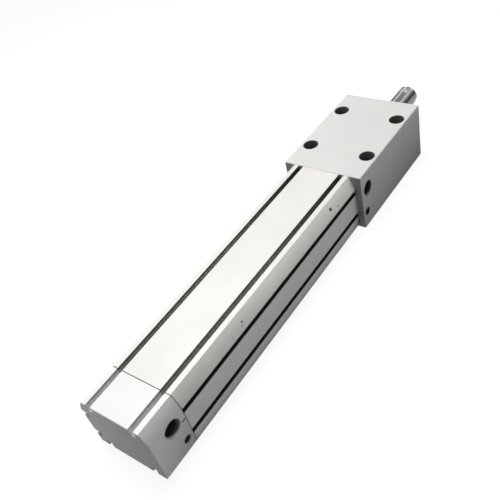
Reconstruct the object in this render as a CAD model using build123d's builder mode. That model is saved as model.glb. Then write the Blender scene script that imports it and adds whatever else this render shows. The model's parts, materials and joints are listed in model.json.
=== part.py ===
from build123d import *
from math import cos, radians, sin, sqrt
import os

os.makedirs("parts", exist_ok=True)

# A guided air cylinder in millimetres. The rod is a ball spline shaft, so it can't turn.
# X runs across, towards the air ports. Y runs along the rod, out of the front. Z is up.
# The origin is the middle of the front block's underside, where the cylinder is bolted down.

# Travel and the lengths that it sets inside the tube
stroke = 100.0
piston_length = 34.0
spigot_length = 9.0
bumper_stand = 2.0
end_gap = 0.25
tube_length = stroke + piston_length + 2 * (spigot_length + bumper_stand + end_gap)

# Bore, and the outline that the tube and the rear cover share, measured from the centre line
bore_radius = 12.5
wall_above = 5.4
wall_below = 2.8
body_top = bore_radius + wall_above
body_bottom = -bore_radius - wall_below
body_width = 42.0
top_flat_width = 34.6
corner_drop = 7.4
corner_bulge = 0.35
bottom_corner_radius = 0.6
cover_length = 21.5
cover_joint_edge = 0.2
cover_rear_edge = 0.3

# Front block: flush with the tube's top, and proud of its underside
block_width = 48.8
block_length = 75.4
block_edge = 0.4
base_stand = 2.6
axis_height = base_stand - body_bottom
block_height = axis_height + body_top

# Sensor slots: a narrow mouth over a round groove, on all four sides
slot_width = 3.0
slot_depth = 4.7
slot_groove_radius = 2.0
cover_slot_depth = 4.0
top_slot_x = 13.0
bottom_slot_x = 14.0
upper_slot_drop = 9.75
lower_slot_rise = 7.9
upper_slot_z = body_top - upper_slot_drop
lower_slot_z = body_bottom + lower_slot_rise

# Seats and fits
slide_fit = 0.05
seat_fit = 0.05
cushion_radius = 8.5
recess_gap = 1.0
recess_radius = cushion_radius + recess_gap
pocket_wall = 1.7
pocket_radius = bore_radius - pocket_wall
pocket_depth = 6.0
cushion_seal_width = 2.6
bumper_gap = 0.5
bumper_inner_radius = cushion_radius + bumper_gap

# Outer O-rings, squeezed between groove and bore
ring_height = 1.3
ring_groove_radius = bore_radius - ring_height
ring_groove_width = 2.2
ring_root = 0.4

# Ball spline: each crest of the shaft is held between two grooves with rows of balls
shaft_radius = 6.5
crest_count = 3
first_crest_angle = 79.0
groove_from_crest = 20.0
ball_radius = 1.2
ball_fit = 0.05
ball_stand = 0.3
ball_circle = shaft_radius + ball_stand
balls_in_row = 4
ball_pitch = 7.5
nut_step = 0.5
nut_radius = bore_radius - nut_step
nut_bore_gap = 0.25
nut_cap_length = 3.0
nut_cap_gap = 0.4
key_width = 3.0
key_length = 18.0
key_depth = 1.8
key_height = 3.0

# Rod cover: the seal carrier between the tube and the spline nut
rod_cover_depth = 24.0
flange_rim = 0.9
flange_radius = bore_radius + flange_rim
flange_length = 2.5
front_recess_depth = 13.0
rod_bore_gap = 0.15
rod_seal_height = 2.8
rod_seal_radius = shaft_radius + rod_seal_height
rod_seal_start = 14.5
rod_seal_width = 4.5
air_groove_depth = 1.2
air_groove_radius = bore_radius - air_groove_depth
air_groove_width = 5.0
air_hole_radius = 1.8
air_hole_count = 4
carrier_ring_start = 16.0

# Rod end, wiper and the bore in the front wall
rod_reach = 35.7
rod_chamfer = 0.6
rod_thread_radius = 3.4
rod_thread_depth = 16.0
rod_thread_chamfer = 0.7
flat_across = 11.0
flat_length = 5.0
flat_setback = 2.2
front_bore_gap = 0.4
front_wall = 4.4
wiper_height = 3.5
wiper_radius = shaft_radius + wiper_height
wiper_length = 5.0
wiper_lip = 1.2

# Piston stack on the turned-down end of the shaft
stud_radius = 5.0
stud_thread_radius = 4.0
stud_thread_length = 10.5
spear_length = 16.0
spear_bore_depth = 11.0
spear_chamfer = 1.5
spear_key_across = 6.0
spear_key_depth = 4.0
piston_gap = 0.4
piston_radius = bore_radius - piston_gap
rear_half_length = 13.0
piston_seal_setback = 3.0
piston_seal_width = 3.5
piston_seal_height = 3.1
piston_seal_root = bore_radius - piston_seal_height
magnet_length = 4.5
magnet_inner_radius = 8.0
magnet_rim = 0.3
magnet_outer_radius = piston_radius - magnet_rim
wear_ring_setback = 2.5
wear_ring_width = 8.0
wear_ring_height = 1.7
wear_ring_root = bore_radius - wear_ring_height
stud_ring_radius = 6.4
stud_ring_width = 1.8

# Rear cover recess behind the cushion
cover_floor = 5.0
cover_recess_radius = 7.5
spear_end_gap = 1.75
cover_step_depth = spear_length - spigot_length - bumper_stand - end_gap + spear_end_gap

# Air ports, tapped from the +X side
port_radius = 4.3
port_depth = 8.0
port_chamfer = 0.7
port_passage_radius = 2.5
rear_port_y = 13.3
rear_port_drop = 12.0
rear_port_z = body_top - rear_port_drop
front_port_y = 7.7
front_port_drop = 11.8
front_port_z = body_top - front_port_drop

# Cushion needles beside the ports
needle_bore_radius = 2.2
needle_bore_depth = 9.0
needle_seat_radius = 0.7
needle_sink = 2.6
needle_thread_length = 3.6
needle_neck_radius = 1.4
needle_ring_width = 1.3
needle_tip_radius = 1.1
needle_slot_width = 0.7
needle_slot_depth = 0.9
rear_needle_y = 17.5
rear_needle_rise = 7.1
rear_needle_z = body_bottom + rear_needle_rise
front_needle_y = 4.1
front_needle_rise = 9.8
front_needle_z = front_needle_rise - axis_height

# Tie bolts that clamp the tube between the block and the rear cover
tie_x = 9.5
tie_edge = 2.95
tie_z = bore_radius + wall_below - tie_edge
tie_radius = 1.5
tie_hole_gap = 0.15
tie_head_radius = 2.75
tie_head_length = 3.0
tie_head_gap = 0.3
tie_head_sink = 0.6
tie_key_across = 2.5
tie_key_depth = 1.4
tie_thread_depth = 12.0
tie_thread_spare = 1.0

# Mounting screw holes down through the block
mount_first_y = 19.8
mount_spacing_y = 37.8
mount_spacing_x = 36.8
mount_hole_radius = 2.6
mount_head_radius = 4.2
mount_head_depth = 16.0

# Places along Y
block_front = block_length / 2
block_rear = -block_length / 2
tube_rear = block_rear - tube_length
cover_rear = tube_rear - cover_length
piston_rear = tube_rear + spigot_length + bumper_stand + end_gap
piston_front = piston_rear + piston_length
shaft_shoulder = piston_front + spear_length
shaft_tip = block_front + rod_reach
nut_rear = block_rear + rod_cover_depth
nut_front = block_front - wiper_length - front_wall
spigot_radius = bore_radius - slide_fit
groove_radius = ball_radius + ball_fit
body_side = body_width / 2
block_side = block_width / 2

centre_line = Axis((0, 0, axis_height), (0, 1, 0))
turning_plane = Plane.XY.offset(axis_height)


def across(y):
    """The plane square to the rod at y. A sketch there is extruded towards the rear."""
    return Plane(origin=(0, y, axis_height), x_dir=(1, 0, 0), z_dir=(0, -1, 0))


def from_side(x, y, z):
    """The plane facing +X at a point given from the centre line. It is drilled towards -X."""
    return Plane(origin=(x, y, axis_height + z), x_dir=(0, 1, 0), z_dir=(1, 0, 0))


def turned(points, mode=Mode.ADD):
    """Turn a closed outline of (radius, y) points about the centre line."""
    with BuildSketch(turning_plane) as section:
        with BuildLine():
            Polyline(*points, close=True)
        make_face()
    revolve(section.sketch, axis=centre_line, mode=mode)


def turned_ring(inner, outer, rear, front, mode=Mode.ADD):
    """A plain ring or a ring-shaped groove between two radii and two places along the rod."""
    turned([(inner, rear), (outer, rear), (outer, front), (inner, front)], mode)


def bored(radius, rear, front):
    """Bore a hole on the centre line between two places along the rod."""
    with BuildSketch(across(front)) as section:
        Circle(radius)
    extrude(section.sketch, amount=front - rear, mode=Mode.SUBTRACT)


def drilled(plane, radius, depth):
    """Drill a blind hole down from a plane's origin."""
    with BuildSketch(plane) as section:
        Circle(radius)
    extrude(section.sketch, amount=-depth, mode=Mode.SUBTRACT)


def tapped_port(plane):
    """The tapping-size hole of an air port, with its countersunk mouth."""
    drilled(plane, port_radius, port_depth)
    with BuildSketch(plane) as mouth:
        Circle(port_radius + port_chamfer)
    extrude(mouth.sketch, amount=-port_chamfer, taper=45, mode=Mode.SUBTRACT)


def body_outline():
    """Flat top with bulging slanted corners, straight sides and a flat underside."""
    flat = top_flat_width / 2
    with BuildSketch() as outline:
        with BuildLine():
            Line((-flat, body_top), (flat, body_top))
            SagittaArc((flat, body_top), (body_side, body_top - corner_drop), corner_bulge)
            Line((body_side, body_top - corner_drop), (body_side, body_bottom))
            Line((body_side, body_bottom), (-body_side, body_bottom))
            Line((-body_side, body_bottom), (-body_side, body_top - corner_drop))
            SagittaArc((-body_side, body_top - corner_drop), (-flat, body_top), corner_bulge)
        make_face()
        fillet(outline.vertices().group_by(Axis.Y)[0], radius=bottom_corner_radius)
    return outline.sketch


def sensor_slot():
    """One slot's section, with its mouth at the origin and opening upwards."""
    groove_centre = slot_groove_radius - slot_depth
    with BuildSketch() as slot:
        with Locations((0, groove_centre / 2)):
            Rectangle(slot_width, -groove_centre)
        with Locations((0, groove_centre)):
            Circle(slot_groove_radius)
    return slot.sketch


def cover_slot():
    """The plain channel that carries a slot through the rear cover."""
    with BuildSketch() as slot:
        with Locations((0, -cover_slot_depth / 2)):
            Rectangle(slot_width, cover_slot_depth)
    return slot.sketch


top_slots = [Location((x, body_top, 0)) for x in (-top_slot_x, top_slot_x)]
bottom_slots = [Location((x, body_bottom, 0), (0, 0, 180)) for x in (-bottom_slot_x, bottom_slot_x)]
left_slots = [Location((-body_side, z, 0), (0, 0, 90)) for z in (lower_slot_z, upper_slot_z)]
right_slots = [Location((body_side, z, 0), (0, 0, -90)) for z in (lower_slot_z, upper_slot_z)]


def tie_places():
    """The four tie bolts' centres, seen along the rod."""
    return GridLocations(2 * tie_x, 2 * tie_z, 2, 2)


def groove_places():
    """The ball grooves' centres, seen along the rod: one on either side of each crest."""
    places = []
    for crest in range(crest_count):
        for side in (-1, 1):
            angle = radians(first_crest_angle + 360 * crest / crest_count + side * groove_from_crest)
            places.append((ball_circle * cos(angle), ball_circle * sin(angle)))
    return places


def spline_section(gap):
    """The shaft's section, with its ball grooves, opened all round by a gap."""
    with BuildSketch() as section:
        Circle(shaft_radius + gap)
        with Locations(groove_places()):
            Circle(groove_radius - gap, mode=Mode.SUBTRACT)
    return section.sketch


# Front block: bored from the rear for the rod cover and the spline nut
with BuildPart() as front_block:
    with BuildSketch(Plane.XY):
        Rectangle(block_width, block_length)
    extrude(amount=block_height)
    chamfer(front_block.edges(), length=block_edge)
    bored(bore_radius, block_rear, nut_rear)
    bored(nut_radius + seat_fit, nut_rear, nut_front)
    bored(shaft_radius + front_bore_gap, nut_front, block_front)
    bored(wiper_radius, block_front - wiper_length, block_front)
    bored(flange_radius + seat_fit, block_rear, block_rear + flange_length)
    with BuildSketch(across(nut_rear + nut_cap_length + key_length)):
        with Locations((0, -(nut_radius - key_depth + key_height) / 2)):
            Rectangle(key_width, nut_radius - key_depth + key_height)
    extrude(amount=nut_cap_length + key_length + rod_cover_depth, mode=Mode.SUBTRACT)
    with BuildSketch(Plane.XY.offset(block_height)):
        with Locations((0, block_rear + mount_first_y + mount_spacing_y / 2)):
            with GridLocations(mount_spacing_x, mount_spacing_y, 2, 2):
                Circle(mount_hole_radius)
    extrude(amount=-block_height, mode=Mode.SUBTRACT)
    with BuildSketch(Plane.XY.offset(block_height)):
        with Locations((0, block_rear + mount_first_y + mount_spacing_y / 2)):
            with GridLocations(mount_spacing_x, mount_spacing_y, 2, 2):
                Circle(mount_head_radius)
    extrude(amount=-mount_head_depth, mode=Mode.SUBTRACT)
    with BuildSketch(across(block_front)):
        with tie_places():
            Circle(tie_radius + tie_hole_gap)
    extrude(amount=block_length, mode=Mode.SUBTRACT)
    with BuildSketch(across(block_front)):
        with tie_places():
            Circle(tie_head_radius + tie_head_gap)
    extrude(amount=tie_head_length + tie_head_sink, mode=Mode.SUBTRACT)
    front_port = from_side(block_side, block_rear + front_port_y, front_port_z)
    tapped_port(front_port)
    drilled(front_port, port_passage_radius, block_side)
    front_needle_seat = from_side(block_side, block_rear + front_needle_y, front_needle_z)
    drilled(front_needle_seat, needle_bore_radius, needle_bore_depth)
    drilled(front_needle_seat, needle_seat_radius, block_side)
front_block.part.label = "front_block"
export_step(front_block.part, "parts/front_block.step")

# Cylinder tube: an extrusion with the bore, eight sensor slots and four tie bolt holes
with BuildPart() as cylinder_tube:
    with BuildSketch(across(block_rear)):
        add(body_outline())
        Circle(bore_radius, mode=Mode.SUBTRACT)
        with Locations(top_slots + bottom_slots + left_slots + right_slots):
            add(sensor_slot(), mode=Mode.SUBTRACT)
        with tie_places():
            Circle(tie_radius + tie_hole_gap, mode=Mode.SUBTRACT)
    extrude(amount=tube_length)
cylinder_tube.part.label = "cylinder_tube"
export_step(cylinder_tube.part, "parts/cylinder_tube.step")

# Rear cover: the tube's outline, with a spigot into the bore, the rear port and its needle
with BuildPart() as rear_cover:
    with BuildSketch(across(tube_rear)):
        add(body_outline())
        with Locations(top_slots + bottom_slots + left_slots):
            add(cover_slot(), mode=Mode.SUBTRACT)
    extrude(amount=cover_length)
    cover_ends = rear_cover.faces().filter_by(Axis.Y).sort_by(Axis.Y)
    chamfer(cover_ends[-1].edges(), length=cover_joint_edge)
    chamfer(cover_ends[0].edges(), length=cover_rear_edge)
    turned_ring(0, spigot_radius, tube_rear, tube_rear + spigot_length)
    bored(cover_recess_radius, cover_rear + cover_floor, tube_rear)
    bored(recess_radius, tube_rear - cover_step_depth, tube_rear + spigot_length)
    bored(pocket_radius, tube_rear + spigot_length - pocket_depth, tube_rear + spigot_length)
    turned_ring(
        ring_groove_radius,
        bore_radius,
        tube_rear + ring_root,
        tube_rear + ring_root + ring_groove_width,
        Mode.SUBTRACT,
    )
    with BuildSketch(across(tube_rear)):
        with tie_places():
            Circle(tie_radius)
    extrude(amount=tie_thread_depth + tie_thread_spare, mode=Mode.SUBTRACT)
    rear_port = from_side(body_side, cover_rear + rear_port_y, rear_port_z)
    tapped_port(rear_port)
    drilled(rear_port, port_passage_radius, body_side)
    rear_needle_seat = from_side(body_side, cover_rear + rear_needle_y, rear_needle_z)
    drilled(rear_needle_seat, needle_bore_radius, needle_bore_depth)
    drilled(rear_needle_seat, needle_seat_radius, body_side)
rear_cover.part.label = "rear_cover"
export_step(rear_cover.part, "parts/rear_cover.step")

# Tie bolts: cap screws in the block's front face, threaded into the rear cover
with BuildPart() as tie_bolts:
    with BuildSketch(across(block_front - tie_head_sink)):
        with tie_places():
            Circle(tie_head_radius)
    extrude(amount=tie_head_length)
    with BuildSketch(across(block_front - tie_head_sink - tie_head_length)):
        with tie_places():
            Circle(tie_radius)
    extrude(amount=block_length - tie_head_sink - tie_head_length + tube_length + tie_thread_depth)
    with BuildSketch(across(block_front - tie_head_sink)):
        with tie_places():
            RegularPolygon(tie_key_across / 2, 6, major_radius=False)
    extrude(amount=tie_key_depth, mode=Mode.SUBTRACT)
tie_bolts.part.label = "tie_bolts"
export_step(tie_bolts.part, "parts/tie_bolts.step")

# Rod cover: a cartridge that centres the tube on the block and carries the seals
rod_cover_rear = block_rear - spigot_length
rod_bore = shaft_radius + rod_bore_gap
with BuildPart() as rod_cover:
    turned(
        [
            (pocket_radius, rod_cover_rear),
            (spigot_radius, rod_cover_rear),
            (spigot_radius, block_rear),
            (flange_radius, block_rear),
            (flange_radius, block_rear + flange_length),
            (spigot_radius, block_rear + flange_length),
            (spigot_radius, nut_rear),
            (rod_bore, nut_rear),
            (rod_bore, block_rear + front_recess_depth),
            (recess_radius, block_rear + front_recess_depth),
            (recess_radius, rod_cover_rear + pocket_depth),
            (pocket_radius, rod_cover_rear + pocket_depth),
        ]
    )
    for groove_front in (block_rear - ring_root, block_rear + carrier_ring_start + ring_groove_width):
        groove_rear = groove_front - ring_groove_width
        turned_ring(ring_groove_radius, bore_radius, groove_rear, groove_front, Mode.SUBTRACT)
    air_groove_rear = block_rear + front_port_y - air_groove_width / 2
    air_groove_front = air_groove_rear + air_groove_width
    turned_ring(air_groove_radius, bore_radius, air_groove_rear, air_groove_front, Mode.SUBTRACT)
    for hole in range(air_hole_count):
        angle = radians(360 * hole / air_hole_count)
        outward = (cos(angle), 0, sin(angle))
        groove_floor = Plane((0, block_rear + front_port_y, axis_height), x_dir=(0, 1, 0), z_dir=outward)
        drilled(groove_floor.offset(air_groove_radius), air_hole_radius, air_groove_radius / 2)
    seal_rear = block_rear + rod_seal_start
    turned_ring(0, rod_seal_radius, seal_rear, seal_rear + rod_seal_width, Mode.SUBTRACT)
    drilled(front_needle_seat, needle_seat_radius, block_side)
rod_cover.part.label = "rod_cover"
export_step(rod_cover.part, "parts/rod_cover.step")

# Rod seal: its lip follows the shaft's grooves
lip_depth = rod_seal_width / 2
seal_middle = (shaft_radius + rod_seal_radius) / 2
with BuildPart() as rod_seal:
    with BuildSketch(across(seal_rear + rod_seal_width)):
        Circle(rod_seal_radius)
        add(spline_section(slide_fit), mode=Mode.SUBTRACT)
    extrude(amount=rod_seal_width)
    turned(
        [
            (seal_middle - lip_depth / 3, seal_rear),
            (seal_middle + lip_depth / 3, seal_rear),
            (seal_middle, seal_rear + lip_depth),
        ],
        Mode.SUBTRACT,
    )
rod_seal.part.label = "rod_seal"
export_step(rod_seal.part, "parts/rod_seal.step")

# Rod wiper: a ring with a lip that scrapes the shaft and its grooves
with BuildPart() as rod_wiper:
    with BuildSketch(across(block_front)):
        Circle(wiper_radius)
        add(spline_section(slide_fit), mode=Mode.SUBTRACT)
    extrude(amount=wiper_length)
    turned_ring(
        shaft_radius + wiper_lip,
        wiper_radius - wiper_lip,
        block_front - wiper_length / 2,
        block_front,
        Mode.SUBTRACT,
    )
rod_wiper.part.label = "rod_wiper"
export_step(rod_wiper.part, "parts/rod_wiper.step")

# Spline nut: a hard sleeve with the outer half of each ball groove, and a keyway
nut_body_rear = nut_rear + nut_cap_length
nut_body_front = nut_front - nut_cap_length
key_front = nut_body_rear + key_length
with BuildPart() as spline_nut:
    with BuildSketch(across(nut_body_front)):
        Circle(nut_radius)
        Circle(shaft_radius + nut_bore_gap, mode=Mode.SUBTRACT)
        with Locations(groove_places()):
            Circle(groove_radius, mode=Mode.SUBTRACT)
    extrude(amount=nut_body_front - nut_body_rear)
    with BuildSketch(across(key_front)):
        with Locations((0, -nut_radius + key_depth - key_height / 2)):
            Rectangle(key_width, key_height)
    extrude(amount=key_length, mode=Mode.SUBTRACT)
spline_nut.part.label = "spline_nut"
export_step(spline_nut.part, "parts/spline_nut.step")

# Nut key: stops the nut from turning in the block
with BuildPart() as nut_key:
    with BuildSketch(across(key_front)):
        with Locations((0, -nut_radius + key_depth - key_height / 2)):
            Rectangle(key_width, key_height)
    extrude(amount=key_length)
nut_key.part.label = "nut_key"
export_step(nut_key.part, "parts/nut_key.step")

# Nut caps: resin rings that turn the balls round at each end
with BuildPart() as nut_cap_rear:
    turned_ring(shaft_radius + nut_cap_gap, nut_radius, nut_rear, nut_body_rear)
nut_cap_rear.part.label = "nut_cap_rear"
export_step(nut_cap_rear.part, "parts/nut_cap_rear.step")

with BuildPart() as nut_cap_front:
    turned_ring(shaft_radius + nut_cap_gap, nut_radius, nut_body_front, nut_front)
nut_cap_front.part.label = "nut_cap_front"
export_step(nut_cap_front.part, "parts/nut_cap_front.step")

# Spline balls: cut with flat facets inside the true ball, with every third ball of a full row left in
with BuildPart() as one_ball:
    facet_distance = ball_radius / sqrt(1 + 2 * (sqrt(2) - 1) ** 2)
    Box(2 * facet_distance, 2 * facet_distance, 2 * facet_distance)
    chamfer(one_ball.edges(), length=(2 - sqrt(2)) * facet_distance)

nut_middle = (nut_body_rear + nut_body_front) / 2
with BuildPart() as spline_balls:
    for groove_x, groove_z in groove_places():
        for ball in range(balls_in_row):
            ball_y = nut_middle + (ball - (balls_in_row - 1) / 2) * ball_pitch
            with Locations((groove_x, ball_y, axis_height + groove_z)):
                add(one_ball.part)
spline_balls.part.label = "spline_balls"
export_step(spline_balls.part, "parts/spline_balls.step")

# Outer O-rings: tube to rear cover, tube to rod cover, and block to rod cover
with BuildPart() as rear_cover_o_ring:
    ring_rear = tube_rear + ring_root
    turned_ring(ring_groove_radius, bore_radius, ring_rear, ring_rear + ring_groove_width)
rear_cover_o_ring.part.label = "rear_cover_o_ring"
export_step(rear_cover_o_ring.part, "parts/rear_cover_o_ring.step")

with BuildPart() as tube_front_o_ring:
    ring_front = block_rear - ring_root
    turned_ring(ring_groove_radius, bore_radius, ring_front - ring_groove_width, ring_front)
tube_front_o_ring.part.label = "tube_front_o_ring"
export_step(tube_front_o_ring.part, "parts/tube_front_o_ring.step")

with BuildPart() as rod_cover_o_ring:
    ring_rear = block_rear + carrier_ring_start
    turned_ring(ring_groove_radius, bore_radius, ring_rear, ring_rear + ring_groove_width)
rod_cover_o_ring.part.label = "rod_cover_o_ring"
export_step(rod_cover_o_ring.part, "parts/rod_cover_o_ring.step")


def cushion_seal(floor, tip):
    """A lip ring on the pocket's floor, which closes on the cushion plunger that comes through the tip."""
    towards_tip = 1 if tip > floor else -1
    turned(
        [
            (cushion_radius + 4 * slide_fit, floor),
            (pocket_radius, floor),
            (pocket_radius, floor + towards_tip * cushion_seal_width),
            (cushion_radius + slide_fit, floor + towards_tip * cushion_seal_width),
            (cushion_radius + slide_fit, floor + towards_tip * cushion_seal_width / 2),
        ]
    )


def bumper(floor, tip):
    """A rubber ring that holds the cushion seal in and stands proud of the spigot's end."""
    towards_tip = 1 if tip > floor else -1
    seat = floor + towards_tip * cushion_seal_width
    proud = tip + towards_tip * bumper_stand
    turned_ring(bumper_inner_radius, pocket_radius, min(seat, proud), max(seat, proud))


rear_tip = tube_rear + spigot_length
rear_floor = rear_tip - pocket_depth
front_floor = rod_cover_rear + pocket_depth

with BuildPart() as rear_cushion_seal:
    cushion_seal(rear_floor, rear_tip)
rear_cushion_seal.part.label = "rear_cushion_seal"
export_step(rear_cushion_seal.part, "parts/rear_cushion_seal.step")

with BuildPart() as front_cushion_seal:
    cushion_seal(front_floor, rod_cover_rear)
front_cushion_seal.part.label = "front_cushion_seal"
export_step(front_cushion_seal.part, "parts/front_cushion_seal.step")

with BuildPart() as rear_bumper:
    bumper(rear_floor, rear_tip)
rear_bumper.part.label = "rear_bumper"
export_step(rear_bumper.part, "parts/rear_bumper.step")

with BuildPart() as front_bumper:
    bumper(front_floor, rod_cover_rear)
front_bumper.part.label = "front_bumper"
export_step(front_bumper.part, "parts/front_bumper.step")

# Spline shaft: turned from bar, then grooved, with a tapped end and two wrench flats
with BuildPart() as spline_shaft:
    turned(
        [
            (0, piston_rear - stud_thread_length),
            (stud_thread_radius, piston_rear - stud_thread_length),
            (stud_thread_radius, piston_rear),
            (stud_radius, piston_rear),
            (stud_radius, shaft_shoulder),
            (shaft_radius, shaft_shoulder),
            (shaft_radius, shaft_tip - rod_chamfer),
            (shaft_radius - rod_chamfer, shaft_tip),
            (rod_thread_radius + rod_thread_chamfer, shaft_tip),
            (rod_thread_radius, shaft_tip - rod_thread_chamfer),
            (rod_thread_radius, shaft_tip - rod_thread_depth),
            (0, shaft_tip - rod_thread_depth - rod_thread_radius / 2),
        ]
    )
    with BuildSketch(across(shaft_tip)):
        with Locations(groove_places()):
            Circle(groove_radius)
    extrude(amount=shaft_tip - shaft_shoulder, mode=Mode.SUBTRACT)
    with BuildSketch(across(shaft_tip - flat_setback)):
        with Locations((0, flat_across / 2 + shaft_radius / 2), (0, -flat_across / 2 - shaft_radius / 2)):
            Rectangle(2 * shaft_radius, shaft_radius)
    extrude(amount=flat_length, mode=Mode.SUBTRACT)
spline_shaft.part.label = "spline_shaft"
export_step(spline_shaft.part, "parts/spline_shaft.step")

# Cushion sleeve in front of the piston, clamped against the shaft's shoulder
with BuildPart() as cushion_sleeve:
    turned(
        [
            (stud_radius, piston_front),
            (cushion_radius, piston_front),
            (cushion_radius, shaft_shoulder - spear_chamfer),
            (cushion_radius - spear_chamfer / 2, shaft_shoulder),
            (stud_radius, shaft_shoulder),
        ]
    )
cushion_sleeve.part.label = "cushion_sleeve"
export_step(cushion_sleeve.part, "parts/cushion_sleeve.step")

# Cushion spear behind the piston: also the nut that clamps the stack
spear_rear = piston_rear - spear_length
with BuildPart() as cushion_spear:
    turned(
        [
            (0, spear_rear),
            (cushion_radius - spear_chamfer / 2, spear_rear),
            (cushion_radius, spear_rear + spear_chamfer),
            (cushion_radius, piston_rear),
            (stud_thread_radius, piston_rear),
            (stud_thread_radius, piston_rear - spear_bore_depth),
            (0, piston_rear - spear_bore_depth),
        ]
    )
    with BuildSketch(across(spear_rear + spear_key_depth)):
        RegularPolygon(spear_key_across / 2, 6, major_radius=False)
    extrude(amount=spear_key_depth, mode=Mode.SUBTRACT)
cushion_spear.part.label = "cushion_spear"
export_step(cushion_spear.part, "parts/cushion_spear.step")

# Piston: two halves on the stud, with the magnet between them
piston_split = piston_rear + rear_half_length
rear_seal_rear = piston_rear + piston_seal_setback
front_seal_front = piston_front - piston_seal_setback
with BuildPart() as piston_rear_half:
    turned(
        [
            (stud_radius, piston_rear),
            (piston_radius, piston_rear),
            (piston_radius, piston_split - magnet_length),
            (magnet_inner_radius, piston_split - magnet_length),
            (magnet_inner_radius, piston_split),
            (stud_ring_radius, piston_split),
            (stud_ring_radius, piston_split - stud_ring_width),
            (stud_radius, piston_split - stud_ring_width),
        ]
    )
    rear_seal_front = rear_seal_rear + piston_seal_width
    turned_ring(piston_seal_root, bore_radius, rear_seal_rear, rear_seal_front, Mode.SUBTRACT)
piston_rear_half.part.label = "piston_rear_half"
export_step(piston_rear_half.part, "parts/piston_rear_half.step")

wear_ring_rear = piston_split + wear_ring_setback
wear_ring_front = wear_ring_rear + wear_ring_width
with BuildPart() as piston_front_half:
    turned_ring(stud_radius, piston_radius, piston_split, piston_front)
    turned_ring(wear_ring_root, bore_radius, wear_ring_rear, wear_ring_front, Mode.SUBTRACT)
    front_seal_rear = front_seal_front - piston_seal_width
    turned_ring(piston_seal_root, bore_radius, front_seal_rear, front_seal_front, Mode.SUBTRACT)
piston_front_half.part.label = "piston_front_half"
export_step(piston_front_half.part, "parts/piston_front_half.step")

with BuildPart() as piston_magnet:
    turned_ring(magnet_inner_radius, magnet_outer_radius, piston_split - magnet_length, piston_split)
piston_magnet.part.label = "piston_magnet"
export_step(piston_magnet.part, "parts/piston_magnet.step")

with BuildPart() as piston_stud_o_ring:
    turned_ring(stud_radius, stud_ring_radius, piston_split - stud_ring_width, piston_split)
piston_stud_o_ring.part.label = "piston_stud_o_ring"
export_step(piston_stud_o_ring.part, "parts/piston_stud_o_ring.step")

with BuildPart() as piston_wear_ring:
    turned_ring(wear_ring_root, spigot_radius, wear_ring_rear, wear_ring_front)
piston_wear_ring.part.label = "piston_wear_ring"
export_step(piston_wear_ring.part, "parts/piston_wear_ring.step")


def piston_seal(pressure_side, back):
    """A lip seal in its groove. Its lip leans out towards the pressure side."""
    lip_root = (piston_seal_root + piston_radius) / 2
    turned(
        [
            (piston_seal_root, back),
            (piston_radius, back),
            (spigot_radius, pressure_side),
            (piston_radius, pressure_side),
            (lip_root, (pressure_side + back) / 2),
            (piston_seal_root, pressure_side),
        ]
    )


with BuildPart() as piston_seal_rear:
    piston_seal(rear_seal_rear, rear_seal_front)
piston_seal_rear.part.label = "piston_seal_rear"
export_step(piston_seal_rear.part, "parts/piston_seal_rear.step")

with BuildPart() as piston_seal_front:
    piston_seal(front_seal_front, front_seal_rear)
piston_seal_front.part.label = "piston_seal_front"
export_step(piston_seal_front.part, "parts/piston_seal_front.step")


def turned_from_side(seat, points):
    """Turn (radius, depth) points about an axis along X, with depth counted in from the seat's mouth."""
    with BuildSketch(Plane(origin=seat.origin, x_dir=(0, 1, 0), z_dir=(0, 0, 1))) as section:
        with BuildLine():
            Polyline(*points, close=True)
        make_face()
    revolve(section.sketch, axis=Axis(seat.origin, (1, 0, 0)))


def cushion_needle(seat):
    """A screw with a driver slot, a neck for its O-ring and a fine cone that closes the seat."""
    screw = needle_bore_radius - slide_fit
    neck = needle_sink + needle_thread_length
    collar = neck + needle_ring_width
    turned_from_side(
        seat,
        [
            (0, needle_sink),
            (screw, needle_sink),
            (screw, neck),
            (needle_neck_radius, neck),
            (needle_neck_radius, collar),
            (screw, collar),
            (screw, (collar + needle_bore_depth) / 2),
            (needle_tip_radius, (collar + needle_bore_depth) / 2),
            (needle_seat_radius - slide_fit, needle_bore_depth),
            (needle_seat_radius / 2, needle_bore_depth + needle_tip_radius),
            (0, needle_bore_depth + needle_tip_radius),
        ],
    )
    with BuildSketch(seat.offset(-needle_sink)) as slot:
        Rectangle(2 * needle_bore_radius, needle_slot_width)
    extrude(slot.sketch, amount=-needle_slot_depth, mode=Mode.SUBTRACT)


def needle_o_ring(seat):
    """The ring on a needle's neck."""
    neck = needle_sink + needle_thread_length
    ring = needle_bore_radius - slide_fit
    collar = neck + needle_ring_width
    turned_from_side(
        seat,
        [(needle_neck_radius, neck), (ring, neck), (ring, collar), (needle_neck_radius, collar)],
    )


# Cushion needles: one beside each port
with BuildPart() as front_needle:
    cushion_needle(front_needle_seat)
front_needle.part.label = "front_needle"
export_step(front_needle.part, "parts/front_needle.step")

with BuildPart() as front_needle_o_ring:
    needle_o_ring(front_needle_seat)
front_needle_o_ring.part.label = "front_needle_o_ring"
export_step(front_needle_o_ring.part, "parts/front_needle_o_ring.step")

with BuildPart() as rear_needle:
    cushion_needle(rear_needle_seat)
rear_needle.part.label = "rear_needle"
export_step(rear_needle.part, "parts/rear_needle.step")

with BuildPart() as rear_needle_o_ring:
    needle_o_ring(rear_needle_seat)
rear_needle_o_ring.part.label = "rear_needle_o_ring"
export_step(rear_needle_o_ring.part, "parts/rear_needle_o_ring.step")
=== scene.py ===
"""Finishes, threads, seals, balls and a small studio for a guided air cylinder with a ball spline rod.

All lengths are in metres. X runs out of the air ports, Y along the rod and out of the front, and Z up.
"""

import json
from math import cos, pi, radians, sin
from typing import NamedTuple

import bmesh
import bpy
from bpy.props import FloatProperty, FloatVectorProperty, IntProperty, PointerProperty
from mathutils import Matrix, Quaternion, Vector


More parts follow.
